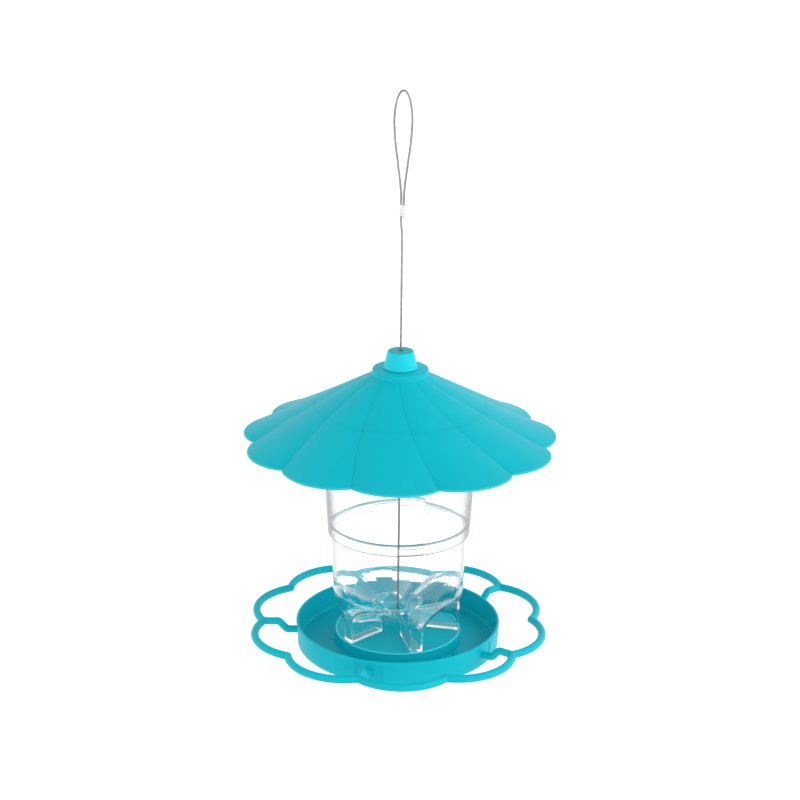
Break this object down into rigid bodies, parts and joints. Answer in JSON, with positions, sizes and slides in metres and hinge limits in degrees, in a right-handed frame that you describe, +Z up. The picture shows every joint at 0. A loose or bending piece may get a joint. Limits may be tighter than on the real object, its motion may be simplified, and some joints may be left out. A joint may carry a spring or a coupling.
{
  "type": "hanging bird feeder",
  "caption": "Hanging bird feeder with a swirled petal roof, a clear silo that telescopes shut, and a round seed tray with a flower-shaped perch ring, on a wire rope with a crimped loop.",
  "frame": {"origin": "top of the wire rope's loop, where a hook or branch carries the feeder", "axes": "+Z up along the rope, through the knob, the roof, the silo and the middle of the tray; X and Y level"},
  "size_m": [0.1991, 0.1984, 0.364],
  "materials": {
    "tray_plastic": "satin moulded turquoise plastic",
    "roof_plastic": "satin moulded turquoise plastic, slightly translucent",
    "knob_plastic": "satin moulded turquoise plastic, a little lighter",
    "cup_clear": "clear glossy moulded plastic",
    "tube_clear": "clear glossy moulded plastic",
    "wire_steel": "twisted galvanised steel rope",
    "ferrule_metal": "crimped bare aluminium",
    "washer_metal": "zinc plated",
    "stop_metal": "crimped bare aluminium"
  },
  "bodies": {
    "tray_body": {"feeding_tray": "tray_plastic", "hanging_wire": "wire_steel", "wire_loop": "wire_steel", "loop_ferrule": "ferrule_metal", "wire_washer": "washer_metal", "wire_end_stop": "stop_metal"},
    "cup_body": {"seed_cup": "cup_clear"},
    "tube_body": {"upper_tube": "tube_clear"},
    "knob_body": {"roof_knob": "knob_plastic"},
    "roof_body": {"roof_canopy": "roof_plastic"}
  },
  "joints": [
    {"name": "silo_lift", "type": "slide", "parent": "tray_body", "child": "cup_body", "axis": [0, 0, 1], "range_m": [0, 0.03]},
    {"name": "tube_fold", "type": "slide", "parent": "cup_body", "child": "tube_body", "axis": [0, 0, 1], "range_m": [-0.075, 0]},
    {"name": "roof_lift", "type": "slide", "parent": "tube_body", "child": "knob_body", "axis": [0, 0, 1], "range_m": [0, 0.05]},
    {"name": "roof_spin", "type": "hinge", "parent": "knob_body", "child": "roof_body", "pos_m": [0, 0, -0.1754], "axis": [0, 0, 1], "continuous": true}
  ]
}
